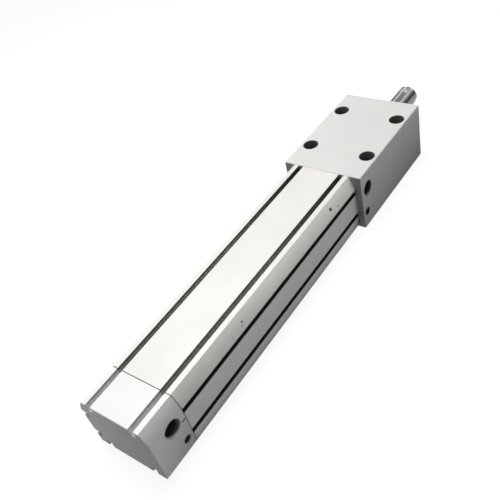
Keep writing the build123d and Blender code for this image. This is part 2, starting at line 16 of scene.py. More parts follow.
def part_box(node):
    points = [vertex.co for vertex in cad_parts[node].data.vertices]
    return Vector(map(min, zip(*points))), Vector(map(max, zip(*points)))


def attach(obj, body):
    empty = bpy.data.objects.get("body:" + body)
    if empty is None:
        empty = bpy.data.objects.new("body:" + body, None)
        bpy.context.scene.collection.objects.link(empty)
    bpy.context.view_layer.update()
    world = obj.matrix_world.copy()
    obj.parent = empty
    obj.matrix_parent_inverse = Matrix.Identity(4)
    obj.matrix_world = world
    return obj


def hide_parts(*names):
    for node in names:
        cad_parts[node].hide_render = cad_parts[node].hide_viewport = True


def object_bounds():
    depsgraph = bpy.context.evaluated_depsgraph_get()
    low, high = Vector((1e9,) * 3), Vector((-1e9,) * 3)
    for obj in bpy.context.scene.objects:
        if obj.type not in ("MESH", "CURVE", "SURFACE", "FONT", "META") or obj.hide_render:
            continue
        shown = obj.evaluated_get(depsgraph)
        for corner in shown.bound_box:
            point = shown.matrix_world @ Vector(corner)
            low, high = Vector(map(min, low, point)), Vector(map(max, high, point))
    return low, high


bl_info = {
    "name": "Guided Air Cylinder",
    "version": (1, 0, 0),
    "blender": (4, 5, 0),
    "location": "3D View > Sidebar > Cylinder",
    "description": "Dresses the packed cylinder and sets up its studio",
    "category": "Object",
}

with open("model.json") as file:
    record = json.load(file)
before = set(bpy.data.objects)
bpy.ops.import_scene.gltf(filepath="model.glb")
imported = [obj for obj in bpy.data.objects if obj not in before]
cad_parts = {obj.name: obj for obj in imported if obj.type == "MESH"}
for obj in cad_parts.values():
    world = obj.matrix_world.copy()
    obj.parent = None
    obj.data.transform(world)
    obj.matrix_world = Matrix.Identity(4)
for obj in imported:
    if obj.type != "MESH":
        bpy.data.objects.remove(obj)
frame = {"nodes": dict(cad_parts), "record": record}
nodes = frame["nodes"]
cad_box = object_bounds()
mounts = {mount["name"]: mount for mount in frame["record"]["mounts"]}


class Pattern(NamedTuple):
    """A noise: how large its features are, in metres, how X, Y and Z are stretched in it, and its detail."""

    size: float
    stretch: tuple = (1, 1, 1)
    detail: float = 3.0


class Ring(NamedTuple):
    """An O-ring: the node that it stands for, the axis it goes round, its body and its section's radius."""

    node: str
    axis: tuple
    body: str
    section: float


class Bore(NamedTuple):
    """A hole from +X or +Z, and the depths below its mouth between which its inside is painted dark as shade.
    """

    axis: str
    mouth: tuple
    radius: float
    depths: tuple
    tone: float
    chamfer: float = 0.0


class Skin(NamedTuple):
    """What sets the anodised skin of one part apart. A tone of 1 leaves the skin as it is, and 0 is black."""

    colour: tuple
    metal: float
    lines: float                 # strength of the drawn lines
    seam: float                  # place of its joint with the next part, along Y
    hollow_shade: float                # tone of the painted shade deep in its slots and corners
    side_slot_shade: float           # tone of the painted shade deep in the slots of its sides
    shade_range: tuple           # openness where the painted shade of a slot or a corner is full, and where it is gone
    floor_shades: tuple                  # tone of the painted shade at the floor, at its rear end and at its front end
    ends: tuple                  # places of those ends, along Y
    lips: bool = False           # whether its top has slots whose lips are painted dark as shade
    bores: tuple = ()
    specks: tuple = ()
    scratch: tuple = ()
    slant_light_and_shade: tuple = (1.0, 1.0)   # painted light and shade on its slanted corners, at its rear end and from its middle on
    rear_face_shade: float = 1.0       # tone of the painted shade on its rear face at +X


WHITE = (1, 1, 1, 1)
ALONG_X = (1, 0, 0)
ALONG_Y = (0, 1, 0)

# Specks of dirt on the tube's slanted corner: place, radius and how dark
CORNER_SPECKS = (
    ((0.01911, -0.06193, 0.03218), 0.00140, 0.97),
    ((0.02021, -0.05577, 0.02998), 0.00075, 0.45),
    ((0.01939, -0.14554, 0.03162), 0.00095, 0.85),
    ((0.02013, -0.14667, 0.03014), 0.00070, 0.55),
    ((0.02014, -0.15438, 0.03012), 0.00070, 0.40),
)

# A short scratch on the rear cover, from beside the port to the joint with the tube: both ends and its width
COVER_SCRATCH = ((0.0210, -0.19720, 0.02176), (0.0210, -0.19465, 0.02120), 0.00130)

DIRT_COLOUR = (0.03, 0.03, 0.03)
# Colour of the edges: worn bare metal, and a painted highlight
EDGE_WEAR_AND_GLINT_COLOUR = (0.97, 0.97, 0.96)
DUST_COLOUR = (0.20, 0.20, 0.19)

# How much of the edge colour shows on the anodised skin's edges: worn bare metal and a painted highlight
EDGE_WEAR_AND_GLINT_SHARE = 0.55

# Nearly all of a noise lies between these values
NOISE_RANGE = (0.3, 0.7)

# Lines and blotches on the metals and on the rubber
DRAWN_LINES = Pattern(0.0009, (1, 0.012, 1), 2.0)
TURNED_LINES = Pattern(0.00018, (0.02, 1, 0.02), 1.0)
GROUND_LINES = Pattern(0.00025, (1, 0.02, 1), 1.0)
METAL_BLOTCHES = Pattern(0.004)
POLISHING_MARKS = Pattern(0.0004, (1, 0.02, 1))
OIL_SMEARS = Pattern(0.005, (1, 0.35, 1))
RUBBER_BLOTCHES = Pattern(0.003)

# How much rougher the steel is in the shaft's ball grooves
GROOVE_ROUGHER = 0.16

# Openness of a milled or a drawn part's skin where it is all in shade, and where it is all in the light
MILLED_SHADE = (0.22, 0.72)
DRAWN_SHADE = (0.40, 0.85)

# The share of a slanted corner's normal that points up: where the slant begins, and where the top takes over
SLANT_BEGINS = (0.10, 0.28)
SLANT_ENDS = (0.60, 0.75)

# The share of a rear face's normal that points to the front
REAR_FACING = (-0.6, -0.9)

# Widths over which the painted shade of the side slots and of the top slots' lips changes
SIDE_SLOT_STEP = 0.0006
LIP_STEP = 0.0008

# How far outside a bore's wall, as a share of its radius, its painted shade starts and is full
BORE_SOFTNESS = (1.06, 1.02)

# The depths below its mouth where a bore's painted shade starts to fade and is gone, well before the far side
BORE_END = (0.020, 0.021)

# The depths between which the inside of a port, of a needle's hole and of a screw hole is painted dark as
# shade. Where they start below 0, the face round the hole is painted dark too, as far out as the bore's
# radius reaches
PORT_DEPTHS = (0.0, 0.0014)
NEEDLE_DEPTHS = (0.0002, 0.0008)
RIMMED_NEEDLE_DEPTHS = (-0.0002, 0.0)
SCREW_DEPTHS = (-0.0001, 0.0)

# Radius of the screw holes' mouths with their rims, painted dark as shade, and width of the rim of painted
# shade round the front needle's hole
SCREW_MOUTH = 0.0044
NEEDLE_SHADE_RIM = 0.0004

# The shaded side of a port's chamfer: its shift from the port's middle, as shares of the chamfer's width, how
# softly it ends, and how dark it is
CHAMFER_SHIFT = (0, 0.5, 0.12)
CHAMFER_STEP = 0.0003
CHAMFER_SHARE = 0.7

# A scratch's dark core and its faint edge, as shares of its width that the way round over both ends grows by
SCRATCH_CORE = 0.08
SCRATCH_EDGE = 0.3
SCRATCH_SHARE = 0.9

# A thread's ridge: how far inside the hole's wall it starts, as a share of its height, and half its width at
# its foot and at its crest, as shares of the pitch
RIDGE_START = 0.1
RIDGE_FOOT = 0.42
RIDGE_CREST = 0.06

O_RINGS = (
    Ring("rear_cover_o_ring", ALONG_Y, "barrel", 0.00065),
    Ring("tube_front_o_ring", ALONG_Y, "barrel", 0.00065),
    Ring("rod_cover_o_ring", ALONG_Y, "barrel", 0.00065),
    Ring("piston_stud_o_ring", ALONG_Y, "rod", 0.0007),
    Ring("front_needle_o_ring", ALONG_X, "front_needle_screw", 0.000375),
    Ring("rear_needle_o_ring", ALONG_X, "rear_needle_screw", 0.000375),
)

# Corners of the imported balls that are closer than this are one
WELD_DISTANCE = 1e-6

# The dark cards that polished steel sees: the share of a direction that points up, where they are whole and
# where they end, and the share that points to the front, where they begin and are whole
CARD_TOP = (0.18, 0.42)
CARD_SIDE = (0.66, 0.74)

SENSOR_WIDTH = 36.0
NEAREST_SEEN = 0.01


def length_property(label, description, default):
    """A size in metres that is shown in the scene's length unit."""
    return FloatProperty(name=label, description=description, default=default, unit="LENGTH", precision=5)


def colour_property(label, description, default):
    """A base colour."""
    return FloatVectorProperty(
        name=label, description=description, default=default, subtype="COLOR", size=3, min=0, max=1
    )


def share_property(label, description, default):
    """A number from 0 to 1."""
    return FloatProperty(name=label, description=description, default=default, subtype="FACTOR", min=0, max=1)


def count_property(label, description, default, least, most=1000):
    """A whole number."""
    return IntProperty(name=label, description=description, default=default, min=least, max=most)


def place_property(label, description, default):
    """A place, or a way from one place to another, in metres."""
    return FloatVectorProperty(name=label, description=description, default=default, subtype="XYZ")


def angle_property(label, description, degrees):
    """An angle."""
    return FloatProperty(name=label, description=description, default=radians(degrees), subtype="ANGLE")


def power_property(label, description, default):
    """A lamp's power in watts."""
    return FloatProperty(name=label, description=description, default=default, unit="POWER")


class CylinderFinish(bpy.types.PropertyGroup):
    """Colours of the visible metals and of the inner parts, the painted shade and light that darken and
    lighten them, and what roughens them.
    """

    block_colour: colour_property("Block", "Anodised aluminium of the front block", (0.78, 0.78, 0.76))
    tube_colour: colour_property("Tube", "Anodised aluminium of the tube", (0.830, 0.814, 0.780))
    cover_colour: colour_property("Rear cover", "Anodised aluminium of the cover", (0.95, 0.95, 0.94))
    carrier_colour: colour_property("Turned aluminium", "Rod cover, piston and cushions", (0.66, 0.66, 0.66))
    crest_colour: colour_property("Shaft crests", "Polished steel of its outside", (0.24, 0.235, 0.23))
    groove_colour: colour_property("Shaft grooves", "Ground steel in the ball grooves", (0.60, 0.595, 0.58))
    ball_colour: colour_property("Balls", "Polished steel of the spline balls", (0.62, 0.62, 0.62))
    steel_colour: colour_property("Steel", "Ground nut and needle steel", (0.44, 0.44, 0.43))
    bolt_colour: colour_property("Bolts", "Black oxide on bolts and key", (0.035, 0.035, 0.037))
    rubber_colour: colour_property("Rubber", "Black nitrile rubber", (0.018, 0.018, 0.018))
    urethane_colour: colour_property("Urethane", "Amber bumpers and cushion seals", (0.50, 0.30, 0.07))
    resin_colour: colour_property("Resin", "Moulded nut caps and magnet", (0.045, 0.045, 0.05))
    wear_ring_colour: colour_property("Wear ring", "Filled resin of the wear ring", (0.26, 0.18, 0.10))
    block_metal: share_property("Block gloss", "How metallic the block's machined skin looks", 0.02)
    tube_metal: share_property("Tube gloss", "How metallic the tube's drawn skin looks", 0.13)
    cover_metal: share_property("Cover gloss", "How metallic the rear cover's machined skin looks", 0.05)
    # The hollow settings paint shade into the skin's colour deep in its holes, slots and corners
    hollow_depth: length_property("Hollow depth", "How near walls must be to darken a hole or a slot", 0.012)
    block_hollow_shade: share_property("Block corners", "How light the block's skin is deep in its corners", 0.55)
    tube_hollow_shade: share_property("Top slots", "How light the tube's skin is deep in its top slots", 0.58)
    side_slot_shade: share_property("Side slots", "How light the tube's skin is deep in its side slots", 0.03)
    side_slot_floor: length_property("Side slot floor", "How near the middle the side slots reach", 0.0160)
    cover_hollow_shade: share_property("Cover slots", "How light the cover's skin is deep in its slots", 0.82)
    # The top slots' lips are painted dark as shade, and the slots by the block carry the block's painted
    # shadow
    lip_depth: length_property("Slot lips", "How far down the dark lips of the top slots reach", 0.0014)
    lip_shade: share_property("Lip tone", "How light the top slots' lips are against their floor", 0.25)
    # Painted shade: the dark inside of the ports, the needles' holes and the screw holes
    bore_shade: share_property("Bores", "How light the oily inside of a port or a needle's hole is", 0.02)
    screw_bore_shade: share_property("Screw holes", "How light the inside of the screw holes is", 0.16)
    port_chamfer: length_property("Port chamfer", "Width of the rear port's shaded chamfer", 0.0008)
    # Painted shade low on the block, the tube and the cover, darker towards the floor
    block_rear_floor_shade: share_property("Block rear foot", "How light the block is low at the tube", 0.56)
    block_front_floor_shade: share_property("Block front foot", "How light the block is low at its front", 0.26)
    tube_floor_shade: share_property("Tube foot", "How light the tube is at the floor, against its top", 0.76)
    cover_rear_floor_shade: share_property("Cover rear foot", "How light the cover is low at its rear", 0.86)
    cover_front_floor_shade: share_property("Cover front foot", "How light the cover is low at the tube", 0.25)
    # Painted light and shade on the slanted corners: below 1 is painted shade, above 1 painted light
    cover_slant_shade: share_property("Cover slant", "How light the cover's slanted corners are", 0.80)
    tube_rear_slant_shade: share_property("Tube rear slant", "How light its slanted corners are at the rear", 0.87)
    tube_front_slant_light: FloatProperty(
        name="Tube front slant", description="How light they are in the front half", default=1.2
    )
    # Painted shade on the cover's rear face, darker towards +X
    rear_face_shade: share_property("Rear fall", "How light the cover's rear face is at +X, against -X", 0.40)
    slot_shade: share_property("Slot shade", "How light the slots are by the block, in its shade", 0.30)
    shade_reach: length_property("Shade reach", "How far the block's shade reaches along the slots", 0.07)
    seam_width: length_property("Seam width", "Width of the dark joint between the tube and its ends", 0.0007)
    seam_tone: share_property("Seam tone", "How light the dirt in the joint is", 0.30)
    skin_roughness: share_property("Skin roughness", "Roughness of the anodised skin", 0.46)
    grain_size: length_property("Grain size", "Size of the anodised skin's grain", 0.00022)
    grain_height: length_property("Grain height", "Depth of the anodised skin's grain", 0.000006)
    cloud_size: length_property("Cloud size", "Size of the soft tone changes over a face", 0.022)
    # The edges are worn and carry a painted highlight
    edge_width: length_property("Edge width", "Width of the broken edges that catch the light", 0.00028)


class CylinderThreads(bpy.types.PropertyGroup):
    """Pitches and ridge heights of the threads."""

    port_pitch: length_property("Port pitch", "Pitch of the air ports' pipe thread", 0.000907)
    port_ridge: length_property("Port ridge", "Height of the port thread's ridge", 0.00030)
    rod_pitch: length_property("Rod pitch", "Pitch of the rod end's thread", 0.00125)
    rod_ridge: length_property("Rod ridge", "Height of the rod end thread's ridge", 0.00034)
    steps_per_turn: count_property("Steps", "Segments in one turn of thread", 40, least=12)


class CylinderSeals(bpy.types.PropertyGroup):
    """How finely the rings and balls are made."""

    ring_segments: count_property("Ring segments", "Segments round a ring", 72, least=16)
    section_segments: count_property("Section", "Segments in a ring's section", 16, least=8)
    ball_detail: count_property("Ball detail", "Subdivisions of a ball", 3, least=1, most=4)
    ball_radius: length_property("Ball radius", "Radius of the spline balls", 0.0012)


class CylinderStudio(bpy.types.PropertyGroup):
    """Camera, lamps and floor."""

    lens: FloatProperty(name="Lens", description="Focal length in millimetres", default=47.13)
    camera_place: place_property("Camera", "Where the camera stands", (0.1761, -0.2797, 0.2550))
    look_azimuth: angle_property("Look azimuth", "Turn of the view away from +Y, towards +X", -45.778)
    look_down: angle_property("Look down", "Angle of the view below the horizon", 41.546)
    roll: angle_property("Roll", "Turn of the picture about the line of sight", -16.405)
    key_power: power_property("Key", "Power of the large lamp overhead", 2.7)
    key_size: length_property("Key size", "Side of the large lamp overhead", 0.36)
    key_offset: place_property("Key place", "Way from the cylinder to the large lamp", (-0.12, 0.02, 0.50))
    fill_power: power_property("Fill", "Power of the weak lamp beside the ports", 0.385)
    fill_size: length_property("Fill size", "Side of the weak lamp beside the ports", 0.4)
    fill_offset: place_property("Fill place", "Way from the cylinder to the weak lamp", (0.42, -0.16, 0.13))
    ambient: share_property("Ambient", "Strength of the light from all round, over the front", 0.08)
    rear_ambient: share_property("Rear ambient", "Strength of the light all round, over the rear", 0.06)
    horizon_tone: share_property("Horizon", "How light the dark cards are that polished steel sees", 0.10)
    floor_size: length_property("Floor size", "Side of the floor", 6.0)
    floor_tone: share_property("Floor tone", "Grey of the floor's own surface", 0.20)
    floor_glow: share_property("Floor glow", "White that the camera sees on top of the floor", 0.90)


def new_material(name):
    """An empty node material with a principled surface. Returns the material, its tree and the shader."""
    material = bpy.data.materials.new(name)
    material.use_nodes = True
    return material, material.node_tree, material.node_tree.nodes["Principled BSDF"]


def feed(tree, node, inputs):
    """Set a node's inputs to values, or link them to the sockets of other nodes."""
    for name, value in inputs.items():
        if isinstance(value, bpy.types.NodeSocket):
            tree.links.new(value, node.inputs[name])
        else:
            node.inputs[name].default_value = value


def put(tree, kind, inputs, **settings):
    """Add a node, with its settings as attributes."""
    made = tree.nodes.new(kind)
    for name, value in settings.items():
        setattr(made, name, value)
    feed(tree, made, inputs)
    return made


def coordinates(tree, kind="Object"):
    """Texture coordinates of that kind."""
    return put(tree, "ShaderNodeTexCoord", {}).outputs[kind]


def one_axis(tree, vector, axis):
    """One coordinate of a vector."""
    return put(tree, "ShaderNodeSeparateXYZ", {0: vector}).outputs[axis]


def noise(tree, size, stretch=(1, 1, 1), detail=3.0):
    """Noise from 0 to 1 whose features are about as large as size, in metres."""
    scale = tuple(share / size for share in stretch)
    place = put(tree, "ShaderNodeMapping", {"Vector": coordinates(tree), "Scale": scale}).outputs["Vector"]
    return put(tree, "ShaderNodeTexNoise", {"Vector": place, "Scale": 1.0, "Detail": detail}).outputs["Fac"]


def remap(tree, value, low, high, to_low=0.0, to_high=1.0):
    """Spread a value from one range over another, and no further."""
    return put(
        tree, "ShaderNodeMapRange",
        {"Value": value, "From Min": low, "From Max": high, "To Min": to_low, "To Max": to_high},
    ).outputs["Result"]


def maths(tree, operation, first, second=0.0):
    """Arithmetic on two values."""
    return put(tree, "ShaderNodeMath", {0: first, 1: second}, operation=operation).outputs["Value"]


def product(tree, first, *others):
    """Values multiplied with each other."""
    for other in others:
        first = maths(tree, "MULTIPLY", first, other)
    return first


def mixed(tree, share, first, second, blend="MIX"):
    """Mix two colours by a share from 0 to 1."""
    made = put(tree, "ShaderNodeMix", {"Factor": share}, data_type="RGBA", blend_type=blend)
    sockets = [socket for socket in made.inputs if socket.type == "RGBA"]
    for socket, colour in zip(sockets, (first, second)):
        if isinstance(colour, bpy.types.NodeSocket):
            tree.links.new(colour, socket)
        else:
            socket.default_value = (*colour[:3], 1.0)
    return next(socket for socket in made.outputs if socket.type == "RGBA")


def toned(tree, colour, tone):
    """A colour times a tone."""
    grey = put(tree, "ShaderNodeCombineColor", {"Red": tone, "Green": tone, "Blue": tone}).outputs["Color"]
    return mixed(tree, 1.0, colour, grey, "MULTIPLY")


def tone_of(tree, value, darkest):
    """The tone that a noise gives: 1 where it is high, and the darkest tone where it is low."""
    return remap(tree, value, *NOISE_RANGE, darkest, 1.0)


def spread(tree, value, middle, either_way):
    """A value that a noise moves up and down from its middle."""
    return remap(tree, value, *NOISE_RANGE, middle - either_way, middle + either_way)


def bump(tree, height, distance, normal=None, strength=0.5):
    """Turn a height from 0 to 1 into relief that many metres deep."""
    inputs = {"Height": height, "Distance": distance, "Strength": strength}
    if normal is not None:
        inputs["Normal"] = normal
    return put(tree, "ShaderNodeBump", inputs).outputs["Normal"]


def edge_mask(tree, width, turned=0.90):
    """The normal rounded over the edges, and a mask: 0 on flat faces, and 1 where that normal is turned."""
    rounded = put(tree, "ShaderNodeBevel", {"Radius": width}, samples=6).outputs["Normal"]
    flat = put(tree, "ShaderNodeNewGeometry", {}).outputs["Normal"]
    along = put(tree, "ShaderNodeVectorMath", {0: rounded, 1: flat}, operation="DOT_PRODUCT").outputs["Value"]
    return rounded, remap(tree, along, 1.0, turned)


def openness(tree, depth, dark, light):
    """1 on open faces, falling to 0 where the walls of a hole or a slot stand close by."""
    occlusion = put(tree, "ShaderNodeAmbientOcclusion", {"Distance": depth}, samples=8)
    return remap(tree, occlusion.outputs["AO"], dark, light)


def part_place(tree, axis):
    """One of the object coordinates."""
    return one_axis(tree, coordinates(tree), axis)


def distance_to(tree, place):
    """How far a point of the surface is from a place."""
    inputs = {0: coordinates(tree), 1: place}
    return put(tree, "ShaderNodeVectorMath", inputs, operation="DISTANCE").outputs["Value"]


def diagonal(tree, first, second):
    """The length of the diagonal over two distances at right angles."""
    squares = maths(tree, "ADD", maths(tree, "POWER", first, 2.0), maths(tree, "POWER", second, 2.0))
    return maths(tree, "SQRT", squares)


def around_bore(tree, axis, mouth):
    """How far a point is from a hole's axis, and how deep below its mouth."""
    away = {name: maths(tree, "SUBTRACT", part_place(tree, name), at) for name, at in zip("XYZ", mouth)}
    deep = maths(tree, "MULTIPLY", away.pop(axis), -1.0)
    return diagonal(tree, *away.values()), deep


def bore_mask(tree, bore):
    """1 inside a hole and 0 elsewhere. It grows over the bore's depths and ends before the far side."""
    off_axis, deep = around_bore(tree, bore.axis, bore.mouth)
    outside, inside = (bore.radius * share for share in BORE_SOFTNESS)
    near = remap(tree, off_axis, outside, inside)
    return product(tree, near, remap(tree, deep, *BORE_END, 1.0, 0.0), remap(tree, deep, *bore.depths))


def chamfer_mask(tree, bore):
    """The side of a hole's chamfer that lies in its own shade: a sickle round it, thickest towards +Y."""
    centre = Vector(bore.mouth) + Vector(CHAMFER_SHIFT) * bore.chamfer
    off_axis, deep = around_bore(tree, bore.axis, centre)
    reach = bore.radius + bore.chamfer / 2
    near = remap(tree, off_axis, reach, reach - CHAMFER_STEP, 0.0, CHAMFER_SHARE)
    return product(tree, near, remap(tree, deep, *BORE_END, 1.0, 0.0))


def seam_mask(tree, place, width):
    """1 on a joint across the tube at that place along Y, fading to 0 at half its width to either side."""
    away = maths(tree, "ABSOLUTE", maths(tree, "SUBTRACT", part_place(tree, "Y"), place))
    return remap(tree, away, width / 4, width / 2, 1.0, 0.0)


def speck_mask(tree, place, radius, share):
    """A soft dark spot around a point of the surface."""
    return remap(tree, distance_to(tree, place), radius / 2, radius, share, 0.0)


def scratch_mask(tree, start, end, width):
    """A soft dark line between two points: the way round over both ends is hardly longer than the line."""
    around = maths(tree, "ADD", distance_to(tree, start), distance_to(tree, end))
    line = (Vector(end) - Vector(start)).length
    core, edge = line + width * SCRATCH_CORE, line + width * SCRATCH_EDGE
    return remap(tree, around, core, edge, SCRATCH_SHARE, 0.0)


def groove_mask(tree, axis_height, land_radius, groove_starts=0.975, groove_full=0.955):
    """1 in the shaft's ball grooves and 0 on its outside, by the distance from the shaft's axis."""
    up = maths(tree, "SUBTRACT", part_place(tree, "Z"), axis_height)
    off_axis = diagonal(tree, part_place(tree, "X"), up)
    return remap(tree, off_axis, land_radius * groove_starts, land_radius * groove_full)


def anodised(name, skin, finish):
    """Clear anodised aluminium: grain, soft clouds, drawn lines, edges brighter with wear and a painted
    highlight, dark joints, painted shade in holes, slots and corners and on low and rear faces, and painted
    light and shade on slanted corners.
    """
    material, tree, shader = new_material(name)
    grain = noise(tree, finish.grain_size, detail=2.0)
    drawn = noise(tree, *DRAWN_LINES)
    tone = product(
        tree,
        tone_of(tree, noise(tree, finish.cloud_size), darkest=0.95),
        tone_of(tree, grain, darkest=0.975),
        tone_of(tree, drawn, darkest=1.0 - 0.035 * skin.lines),
        painted_floor_shade(tree, skin),
        painted_slant_light_and_shade(tree, skin),
        painted_rear_shade(tree, skin),
    )
    shade = toned(tree, skin.colour, tone)
    rounded, edges = edge_mask(tree, finish.edge_width)
    # Worn edges with a painted highlight
    shade = mixed(tree, product(tree, edges, EDGE_WEAR_AND_GLINT_SHARE), shade, EDGE_WEAR_AND_GLINT_COLOUR)
    seam_colour = tuple(finish.seam_tone * channel for channel in skin.colour)
    shade = mixed(tree, seam_mask(tree, skin.seam, finish.seam_width), shade, seam_colour)
    relief = bump(tree, grain, finish.grain_height, rounded)
    feed(tree, shader, {
        "Base Color": painted_shade_and_dirt(tree, shade, skin, finish),
        "Roughness": spread(tree, grain, middle=finish.skin_roughness, either_way=0.05),
        "Metallic": skin.metal,
        "Specular IOR Level": 0.25,
        "Normal": bump(tree, drawn, finish.grain_height * skin.lines, relief),
    })
    return material


def painted_floor_shade(tree, skin):
    """Painted shade by height: 1 at the top, and darker at the floor, changing along the part."""
    foot = remap(tree, part_place(tree, "Y"), *skin.ends, *skin.floor_shades)
    height = remap(tree, part_place(tree, "Z"), 0.0, cad_box[1].z)
    return maths(tree, "ADD", foot, product(tree, height, maths(tree, "SUBTRACT", 1.0, foot)))


def painted_slant_light_and_shade(tree, skin):
    """Painted light and shade on slanted corners, from the part's rear end to its middle. Other faces stay at
    1.
    """
    up = one_axis(tree, coordinates(tree, "Normal"), "Z")
    slanted = product(tree, remap(tree, up, *SLANT_BEGINS), remap(tree, up, *SLANT_ENDS, 1.0, 0.0))
    rear, front = skin.ends
    tone = remap(tree, part_place(tree, "Y"), rear, (rear + front) / 2, *skin.slant_light_and_shade)
    return maths(tree, "ADD", 1.0, product(tree, slanted, maths(tree, "SUBTRACT", tone, 1.0)))


def painted_rear_shade(tree, skin):
    """Painted shade on a face that looks to the rear: 1 at -X and darker at +X. Other faces stay at 1."""
    facing = remap(tree, one_axis(tree, coordinates(tree, "Normal"), "Y"), *REAR_FACING)
    low, high = cad_box
    dark = remap(tree, part_place(tree, "X"), low.x, high.x, 0.0, 1.0 - skin.rear_face_shade)
    return maths(tree, "SUBTRACT", 1.0, product(tree, facing, dark))


def painted_slot_shade(tree, skin, finish):
    """Painted shade deep in a slot: darker in the sides, at the top slots' lips, and near the block as its
    painted shadow.
    """
    from_middle = maths(tree, "ABSOLUTE", part_place(tree, "X"))
    outer = finish.side_slot_floor
    tone = remap(tree, from_middle, outer - SIDE_SLOT_STEP, outer, skin.hollow_shade, skin.side_slot_shade)
    if not skin.lips:
        return tone
    lip = cad_box[1].z - finish.lip_depth
    below, above = lip - LIP_STEP / 2, lip + LIP_STEP / 2
    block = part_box("front_block")[0].y
    return product(
        tree,
        tone,
        remap(tree, part_place(tree, "Z"), below, above, 1.0, finish.lip_shade),
        remap(tree, part_place(tree, "Y"), block - finish.shade_reach, block, 1.0, finish.slot_shade),
    )


def painted_shade_and_dirt(tree, shade, skin, finish):
    """An anodised skin's colour with painted shade in its slots, corners and bores, and with its specks of
    dirt and its scratch.
    """
    hollow_shade = toned(tree, skin.colour, painted_slot_shade(tree, skin, finish))
    # Painted shade where walls stand close by, in slots and corners
    shade = mixed(tree, openness(tree, finish.hollow_depth, *skin.shade_range), hollow_shade, shade)
    # Painted shade inside the bores and on the shaded side of the port's chamfer
    for bore in skin.bores:
        inside = (bore.tone,) * 3
        if bore.chamfer:
            shade = mixed(tree, chamfer_mask(tree, bore), shade, inside)
        shade = mixed(tree, bore_mask(tree, bore), shade, inside)
    for speck in skin.specks:
        shade = mixed(tree, speck_mask(tree, *speck), shade, DIRT_COLOUR)
    if skin.scratch:
        shade = mixed(tree, scratch_mask(tree, *skin.scratch), shade, DIRT_COLOUR)
    return shade


def machined(name, colour, roughness, metallic, lines=GROUND_LINES):
    """Bare metal with fine tool lines."""
    material, tree, shader = new_material(name)
    cut = noise(tree, *lines)
    blotches = noise(tree, *METAL_BLOTCHES)
    tone = product(tree, tone_of(tree, cut, darkest=0.90), tone_of(tree, blotches, darkest=0.92))
    rounded, _ = edge_mask(tree, width=0.00012)
    feed(tree, shader, {
        "Base Color": toned(tree, colour, tone),
        "Roughness": remap(tree, cut, *NOISE_RANGE, roughness, roughness + 0.08),
        "Metallic": metallic,
        "Normal": bump(tree, cut, distance=0.000004, normal=rounded, strength=0.6),
    })
    return material


def polished_steel(name, colour, groove=None, groove_colour=None):
    """Polished steel: lengthwise grinding marks, faint smears of oil, and paler matt steel in any grooves."""
    material, tree, shader = new_material(name)
    marks = noise(tree, *POLISHING_MARKS)
    smears = noise(tree, *OIL_SMEARS)
    tone = product(tree, tone_of(tree, marks, darkest=0.78), tone_of(tree, smears, darkest=0.85))
    roughness = remap(tree, smears, *NOISE_RANGE, to_low=0.13, to_high=0.20)
    if groove:
        in_groove = groove_mask(tree, *groove)
        colour = mixed(tree, in_groove, colour, groove_colour)
        roughness = maths(tree, "ADD", roughness, product(tree, in_groove, GROOVE_ROUGHER))
    rounded, _ = edge_mask(tree, width=0.00015)
    feed(tree, shader, {
        "Base Color": toned(tree, colour, tone),
        "Roughness": roughness,
        "Metallic": 1.0,
        "Normal": bump(tree, marks, distance=0.000003, normal=rounded),
    })
    return material


def moulded(name, colour, roughness, grain, dust=DUST_COLOUR):
    """Rubber, urethane or moulded resin: a fine skin, a little dust and blotches of tone."""
    material, tree, shader = new_material(name)
    skin = noise(tree, grain, detail=2.0)
    blotches = noise(tree, *RUBBER_BLOTCHES)
    dusty = product(
        tree,
        remap(tree, blotches, 0.5, 0.8, to_low=0.0, to_high=0.25),
        remap(tree, skin, 0.4, 0.7, to_low=0.3, to_high=1.0),
    )
    feed(tree, shader, {
        "Base Color": mixed(tree, dusty, colour, dust),
        "Roughness": spread(tree, skin, middle=roughness, either_way=0.06),
        "Normal": bump(tree, skin, distance=0.00002),
    })
    return material


def dress(material, *names):
    """Give CAD nodes a finish."""
    for name in names:
        mesh = nodes[name].data
        mesh.materials.clear()
        mesh.materials.append(material)


def piece_from(bm, name, material, body, stands_for=()):
    """Make a closed bmesh a smooth-shaded piece that rides on a body, and stop if it isn't closed."""
    bmesh.ops.recalc_face_normals(bm, faces=bm.faces)
    if any(edge.is_boundary for edge in bm.edges):
        raise RuntimeError(f"{name} isn't closed")
    mesh = bpy.data.meshes.new(name)
    bm.to_mesh(mesh)
    bm.free()
    mesh.materials.append(material)
    for polygon in mesh.polygons:
        polygon.use_smooth = True
    piece = bpy.data.objects.new(name, mesh)
    bpy.context.scene.collection.objects.link(piece)
    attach(piece, body)
    if stands_for:
        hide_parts(*stands_for)
    return piece


def turn_to(bm, axis, place):
    """Turn a bmesh that was made about +Z to another axis, and move it to its place."""
    turn = Vector((0, 0, 1)).rotation_difference(Vector(axis)).to_matrix().to_4x4()
    bmesh.ops.transform(bm, matrix=Matrix.Translation(place) @ turn, verts=bm.verts)


